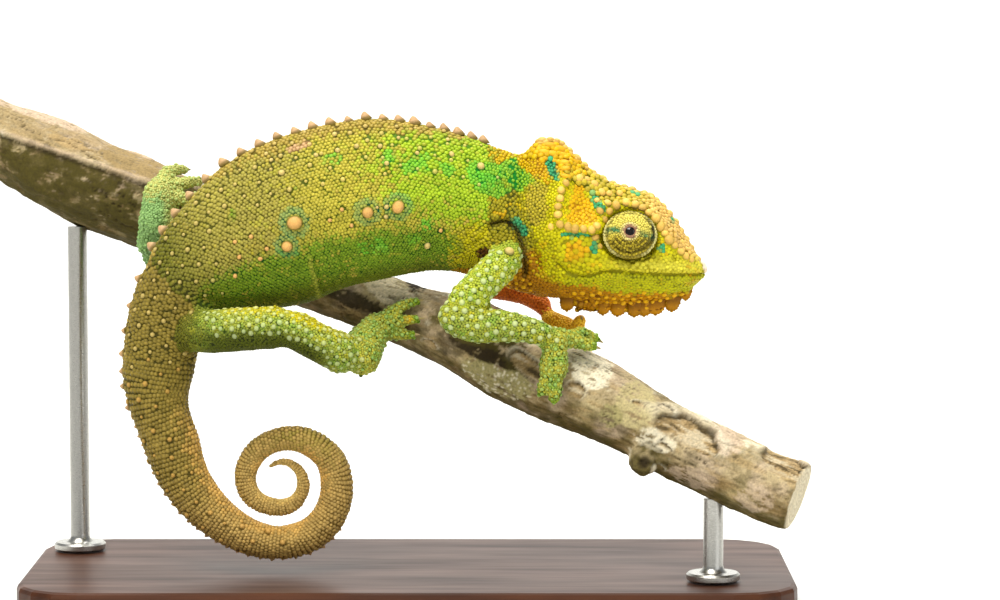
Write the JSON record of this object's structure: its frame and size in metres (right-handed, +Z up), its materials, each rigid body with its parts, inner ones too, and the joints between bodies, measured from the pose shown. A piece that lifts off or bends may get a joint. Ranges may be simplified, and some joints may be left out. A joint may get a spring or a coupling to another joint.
{
  "type": "chameleon",
  "caption": "Life-size dwarf chameleon with a coiled tail, gripping a short cut length of branch that a plain wooden stand holds up.",
  "frame": {"origin": "under the middle of the stand's length, on the underside of its base", "axes": "+X towards the animal's snout, +Z up, and -Y on the animal's right side"},
  "size_m": [0.1318, 0.054, 0.0764],
  "materials": {
    "skin_back": "matt scaly skin, golden olive with brown, lime and emerald",
    "skin_head": "matt scaly skin, yellow and lime with orange",
    "skin_leg": "matt scaly skin, lime green",
    "skin_tail": "matt scaly skin, brown and tan",
    "eye": "fine granular skin over the eye turret",
    "bark": "weathered rough bark with flaked hollows",
    "stand_wood": "satin dark wood",
    "stand_metal": "satin"
  },
  "bodies": {
    "root": {"head": "skin_head", "lower_jaw": "skin_head", "neck": "skin_head", "eye_right": "eye", "eye_left": "eye", "trunk": "skin_back", "tail_base": "skin_tail", "tail_middle": "skin_tail", "tail_coil_outer": "skin_tail", "tail_coil_inner": "skin_tail", "tail_tip": "skin_tail", "foreleg_right_upper": "skin_leg", "foreleg_right_lower": "skin_leg", "foreleg_right_foot": "skin_leg", "foreleg_left_upper": "skin_leg", "foreleg_left_lower": "skin_leg", "foreleg_left_foot": "skin_leg", "hindleg_right_upper": "skin_leg", "hindleg_right_lower": "skin_leg", "hindleg_right_foot": "skin_leg", "hindleg_left_upper": "skin_leg", "hindleg_left_lower": "skin_leg", "hindleg_left_foot": "skin_leg", "perch_branch": "bark", "stand_base": "stand_wood", "stand_rod_left": "stand_metal", "stand_rod_right": "stand_metal"}
  },
  "joints": []
}
